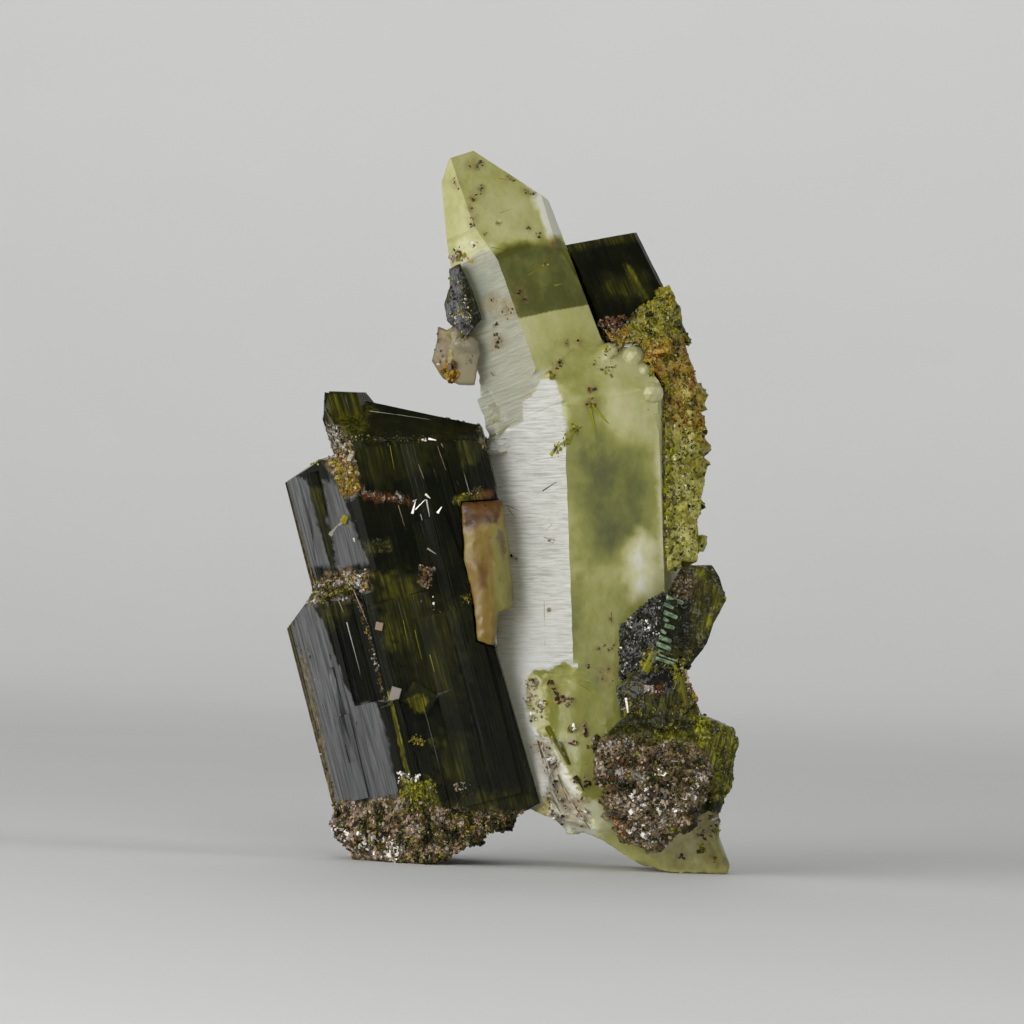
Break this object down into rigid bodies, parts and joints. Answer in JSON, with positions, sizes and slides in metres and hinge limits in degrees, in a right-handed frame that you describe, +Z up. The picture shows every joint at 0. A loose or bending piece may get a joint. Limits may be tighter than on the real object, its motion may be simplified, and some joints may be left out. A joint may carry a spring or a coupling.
{
  "type": "epidote crystal cluster",
  "caption": "Upright mineral specimen: dark striated epidote prisms grown together with a tall pale quartz prism, standing on its broken feet.",
  "frame": {"origin": "middle of the underside of the bounding box, at the level that both broken feet stand on", "axes": "+Z up along the cluster's height, the front with the bright striated quartz face looks along -Y, +X to the viewer's right"},
  "size_m": [0.0352, 0.0176, 0.0544],
  "materials": {
    "quartz": "pale olive, milky and see-through, one face finely striated",
    "stained_quartz": "orange-brown stained quartz, cloudy",
    "epidote": "black-green, glassy lustre, striated along its length",
    "granular_epidote": "yellow-green and brown grains with small bright facets"
  },
  "bodies": {
    "root": {"quartz_pair": "quartz", "quartz_wedge": "stained_quartz", "quartz_shoulder": "stained_quartz", "epidote_left": "epidote", "epidote_foot": "epidote", "epidote_fan": "epidote", "epidote_rear": "epidote", "epidote_shoulder": "epidote", "epidote_granular": "granular_epidote"}
  },
  "joints": []
}
